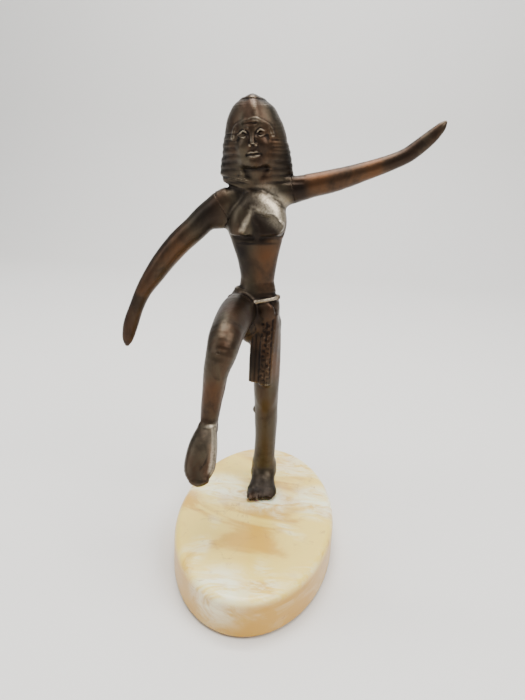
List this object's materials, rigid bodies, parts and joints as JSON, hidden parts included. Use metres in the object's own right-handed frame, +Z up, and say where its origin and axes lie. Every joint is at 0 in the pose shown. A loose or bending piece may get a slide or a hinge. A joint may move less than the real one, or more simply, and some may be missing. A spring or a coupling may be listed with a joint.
{
  "type": "bronze statuette",
  "caption": "Cast bronze dancing figure with striped headdress, one leg raised and arms spread, bolted on an oval polished stone base.",
  "frame": {"origin": "centre of the underside of the felt pad", "axes": "+Z up, the figure faces -Y, its raised arm points to +X, the oval base is long along Y"},
  "size_m": [0.1748, 0.16, 0.248],
  "materials": {
    "onyx": "polished honey-cream banded onyx",
    "bronze": "dark brown patina, rubbed through to metal on the high spots",
    "zinc_steel": "zinc plated",
    "felt": "pressed wool felt"
  },
  "bodies": {
    "root": {"stone_base": "onyx", "body_casting": "bronze", "raised_arm": "bronze", "lowered_arm": "bronze", "raised_leg": "bronze", "mounting_stud": "zinc_steel", "flat_washer": "zinc_steel", "spring_washer": "zinc_steel", "hex_nut": "zinc_steel", "felt_pad": "felt"}
  },
  "joints": []
}
